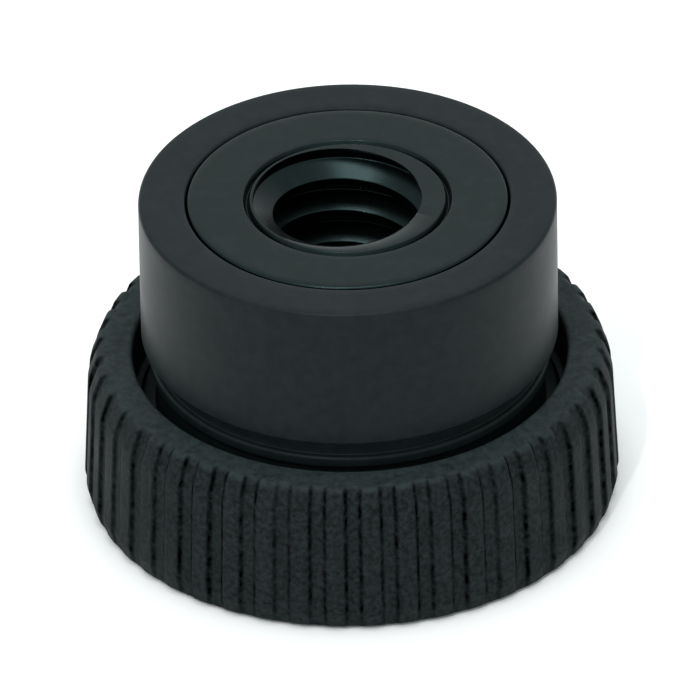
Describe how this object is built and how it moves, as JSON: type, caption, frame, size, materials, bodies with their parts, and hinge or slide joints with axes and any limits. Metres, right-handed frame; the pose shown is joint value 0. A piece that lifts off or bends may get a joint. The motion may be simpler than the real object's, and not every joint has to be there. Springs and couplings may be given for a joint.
{
  "type": "knurled thumb nut",
  "caption": "Round black thumb nut: a smooth hub on a wider knurled grip ring, with a threaded metal bush right through on the axis.",
  "frame": {"origin": "centre of the underside, on the thread's axis", "axes": "+Z along the thread's axis, from the grip ring towards the hub's face"},
  "size_m": [0.018, 0.018, 0.0114],
  "materials": {
    "insert_metal": "black oxide, satin, turned",
    "hub_plastic": "moulded black, satin gloss",
    "grip_plastic": "moulded black, grained, dull"
  },
  "bodies": {
    "root": {"threaded_insert": "insert_metal", "hub_body": "hub_plastic", "grip_ring": "grip_plastic"}
  },
  "joints": []
}
